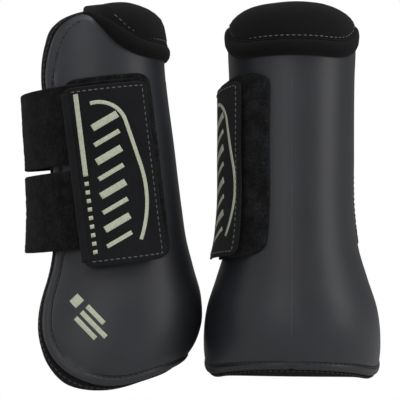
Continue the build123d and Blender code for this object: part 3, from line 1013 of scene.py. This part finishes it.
LOOP_OVERHANG = 4.0  # the loop pad shows this much behind the panel
LOOP_RISE = 6.0  # and this much above it
PAD_CORNER = 8.0
LOOP_FACES = (0.2, 2.2)  # inner and outer face, over the shell
HOOK_FACES = (-2.0, -0.2)  # and from here on over the pulled straps' inner face
PANEL_FACES = (2.2, 3.7)
PAD_INSET = 2.5
PANEL_STITCH = 3.0
PANEL_FRONT_STITCH = 4.5  # clear of the folded band
BAND_END = 3.5
BAND_WIDTH = 3.6
FOLDED_BAND = (
    (0.9, 2.0), (1.1, 3.2), (0.5, 4.1), (-0.8, 4.35), (-BAND_WIDTH, 4.3), (-BAND_WIDTH - 0.3, 3.9),
    (-BAND_WIDTH, 3.4), (-0.4, 3.3), (0.1, 3.0), (0.1, 2.6), (-BAND_WIDTH, 2.3), (-BAND_WIDTH, 1.9),
    (-0.4, 1.7),
)
INK_HEIGHT = 3.72
INK_BODY = ((-0.5, -0.1), (-0.5, 0.05), (-0.42, 0.12), (0.42, 0.12), (0.5, 0.05), (0.5, -0.1))


def side_line(points, wear, side=-1, spacing=0.8):
    """A straight-sided line given in side view, as turn and rise."""
    dense = []
    for a, b in zip(points[:-1], points[1:]):
        count = max(2, int(math.dist(a, b) / spacing))
        dense += [np.array(a) + (np.array(b) - a) * k / count for k in range(count)]
    dense = np.array(dense + [points[-1]])
    return from_side(dense[:, 0], dense[:, 1], side, wear)


def ink_line(points, width, height, wear):
    """A printed line with square ends, slightly proud of the cloth."""
    profile = [(width * off, height + up) for off, up in INK_BODY]
    return sweep(side_line(points, wear), profile, 1.0, wear)


def panel_print(front):
    """Plain marks for the panel: a stripe, a row of squares, a column of slanted bars, an arc."""
    low = PANEL_BOTTOM
    parts = [ink_line([(front + 8, low + 59), (front + 8, low + 112)], 3.0, INK_HEIGHT, PULLED)]
    for k in range(9):
        foot = low + 8 + 5.6 * k
        square = [(front + 8, foot), (front + 8, foot + 2.6)]
        parts.append(ink_line(square, 2.6, INK_HEIGHT, PULLED))
    for k in range(8):
        foot = low + 12 + 11 * k
        start = (front + 15.5, foot)
        end = (front + 31.5, foot + 7.5)
        parts.append(ink_line([start, end], 4.6 if k % 2 else 3.0, INK_HEIGHT, PULLED))
    arc = tangent_path(
        (front + 16, low + 105), (1, 0.22),
        [(front + 36, low + 92), (front + 42, low + 62), (front + 36.5, low + 14)],
    )
    arc_points = [tuple(p) for p in arc[::4]]
    parts.append(ink_line(arc_points, 2.4, INK_HEIGHT, PULLED))
    return combined(parts)


def shell_print():
    """A small plain mark near the hem: three slanted bars and a square."""
    middle = np.array((-21.0, 51.0))
    along = np.array((math.cos(math.radians(-52)), math.sin(math.radians(-52))))
    across = np.array((-along[1], along[0]))
    parts = []
    for k, length in enumerate((15, 22, 18)):
        start = middle + across * (5.2 - 5.2 * k) - along * 12
        parts.append(ink_line([tuple(start), tuple(start + along * length)], 2.6, 0.0, WALL))
    start = middle + across * 2.6 - along * 22
    parts.append(ink_line([tuple(start), tuple(start + along * 6)], 6.0, 0.0, WALL))
    return combined(parts)


def loop_pad(boot, front, rear):
    """The pad of loops, sewn flat on the shell."""
    loop = make_piece(
        f"{boot}_loop_pad_cloth", boot,
        *pad_mesh(front, rear + LOOP_OVERHANG, PANEL_BOTTOM, PANEL_TOP + LOOP_RISE,
                  PAD_CORNER, LOOP_FACES, WALL, fuzz),
        pad_loops,
    )
    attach(loop, boot)
    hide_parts(f"{boot}_loop_pad")


ANCHOR_INSET = 2.5


def elastic_strap(boot, name, level, wrap):
    """A strap with the box of stitches that holds its end, and the hooks under its tail."""
    mesh, length = strap_mesh(level, wrap)
    strap = make_piece(f"{boot}_{name}_elastic", boot, *mesh, strap_loops)
    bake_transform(strap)
    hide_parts(f"{boot}_{name}_strap", f"{boot}_{name}_strap_anchor")
    box = rounded_rectangle(
        FOLD + 2.8, ANCHOR_REAR - ANCHOR_INSET,
        level + ANCHOR_INSET, level + STRAP_WIDTH - ANCHOR_INSET, 0.6, 1, PULLED,
    )
    seam = make_piece(
        f"{boot}_{name}_anchor_stitches", boot,
        *combined([stitches(edge, 0, STRAP_THICKNESS + 0.2, PULLED) for edge in box]),
        dark_thread,
    )
    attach(seam, boot)
    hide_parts(f"{boot}_{name}_anchor_stitching")
    hooks = make_piece(
        f"{boot}_{name}_hook_tape", boot,
        *pad_mesh(wrap[0] + PAD_INSET, wrap[1] - TAIL_SETBACK - PAD_INSET, level + PAD_INSET,
                  level + STRAP_WIDTH - PAD_INSET, 0.8, HOOK_FACES, PULLED),
        hook_tape,
    )
    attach(hooks, f"{boot}_closure")
    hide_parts(f"{boot}_{name}_hook_pad")


def woven_panel(boot, front, rear):
    """The panel over both strap ends, with tape folded round its front edge and a sewn hem."""
    closure = f"{boot}_closure"
    panel = make_piece(
        f"{boot}_woven_panel", boot,
        *pad_mesh(front, rear, PANEL_BOTTOM, PANEL_TOP, PANEL_CORNER, PANEL_FACES, PULLED),
        panel_cloth,
    )
    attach(panel, closure)
    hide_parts(f"{boot}_closure_panel")
    fold = side_line([(front, PANEL_TOP - BAND_END), (front, PANEL_BOTTOM + BAND_END)], PULLED)
    band = make_piece(
        f"{boot}_panel_folded_band", boot, *sweep(fold, FOLDED_BAND, 1.5, PULLED), tape
    )
    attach(band, closure)
    low, high = PANEL_BOTTOM + PANEL_STITCH, PANEL_TOP - PANEL_STITCH
    near, far = front + PANEL_FRONT_STITCH, rear - PANEL_STITCH
    hem = side_line([(near, high), (far, high), (far, low), (near, low)], PULLED)
    seam = make_piece(
        f"{boot}_panel_stitches", boot,
        *stitches(hem, 0, PANEL_FACES[1] + 0.15, PULLED),
        light_thread,
    )
    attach(seam, closure)
    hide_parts(f"{boot}_panel_stitching")


def printed_marks(boot, front):
    """The marks printed on the panel and on the shell."""
    marks = make_piece(f"{boot}_panel_print", boot, *panel_print(front), ink)
    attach(marks, f"{boot}_closure")
    marks = make_piece(f"{boot}_shell_print", boot, *shell_print(), ink)
    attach(marks, boot)


levels = {"lower": STRAP_BOTTOM, "upper": STRAP_BOTTOM + STRAP_WIDTH + STRAP_GAP}
for boot in BOOTS:
    wrap = WRAP[boot]
    loop_pad(boot, *wrap)
    for name, level in levels.items():
        elastic_strap(boot, name, level, wrap)
    woven_panel(boot, *wrap)
    printed_marks(boot, wrap[0])

# ---------------------------------------------------------------------------------------------
# Floor, light and camera: a white sweep, a broad soft lamp overhead, a softer lamp from the front
# left, and two strips at the sides that draw the satin edges.


def studio_white():
    material, tree, shader = new_material("matt_white_sweep")
    shader.inputs["Base Color"].default_value = linear("#e7e7e7")
    shader.inputs["Roughness"].default_value = 1.0
    seen = add(tree, "ShaderNodeLightPath")
    glow = add(tree, "ShaderNodeEmission", {"Color": (1, 1, 1, 1), "Strength": 1.0})
    mixed = add(tree, "ShaderNodeMixShader", None, {
        0: seen.outputs["Is Camera Ray"], 1: shader.outputs["BSDF"], 2: glow.outputs["Emission"],
    })
    tree.links.new(mixed.outputs["Shader"], tree.nodes["Material Output"].inputs["Surface"])
    return material


FLOOR_HALF = 6.0  # metres to each side
FLOOR_NEAR, FLOOR_FAR = -2, 9
floor_mesh = bpy.data.meshes.new("studio_floor")
floor_mesh.from_pydata(
    [
        (-FLOOR_HALF, FLOOR_NEAR, 0), (FLOOR_HALF, FLOOR_NEAR, 0),
        (FLOOR_HALF, FLOOR_FAR, 0), (-FLOOR_HALF, FLOOR_FAR, 0),
    ],
    [], [(0, 1, 2, 3)],
)
floor_mesh.materials.append(studio_white())
floor = bpy.data.objects.new("studio_floor", floor_mesh)
bpy.context.scene.collection.objects.link(floor)

world = bpy.data.worlds.new("white_studio")
world.use_nodes = True
bpy.context.scene.world = world
tree = world.node_tree
background = tree.nodes["Background"]
background.inputs["Color"].default_value = (1, 1, 1, 1)
seen = add(tree, "ShaderNodeLightPath")
strength = add(tree, "ShaderNodeMapRange", {"To Min": 0.28, "To Max": 1.0},
               {"Value": seen.outputs["Is Camera Ray"]})
tree.links.new(strength.outputs["Result"], background.inputs["Strength"])

LAMP_AIM = Vector((0, 0, 0.13))


def lamp(name, place, size, power):
    """A rectangular lamp at a place, in metres, aimed at the middle of the pair."""
    light = bpy.data.lights.new(name, "AREA")
    light.shape = "RECTANGLE"
    light.size, light.size_y = size
    light.energy = power
    holder = bpy.data.objects.new(name, light)
    holder.location = place
    holder.rotation_euler = (LAMP_AIM - Vector(place)).to_track_quat("-Z", "Y").to_euler()
    bpy.context.scene.collection.objects.link(holder)


lamp("overhead_lamp", (0.1, -0.55, 1.5), (1.3, 0.8), 12)
lamp("front_lamp", (-0.5, -1.6, 0.5), (1.2, 0.8), 5)
lamp("right_lamp", (1.4, -0.5, 0.5), (0.5, 1.2), 7)
lamp("left_lamp", (-1.5, -0.1, 0.4), (0.4, 1.2), 4)

VIEW_SIDE = -1.1 * MM
VIEW_DISTANCE = 0.8
VIEW_LEVEL = 0.1239
camera_data = bpy.data.cameras.new("camera")
camera_data.sensor_width = 36
camera_data.lens = 105.12
camera = bpy.data.objects.new("camera", camera_data)
camera.location = (VIEW_SIDE, STANCE_Y * MM - VIEW_DISTANCE, VIEW_LEVEL)
camera.rotation_euler = (math.radians(90), 0, 0)
bpy.context.scene.collection.objects.link(camera)
bpy.context.scene.camera = camera
bpy.context.scene.view_settings.view_transform = "Standard"
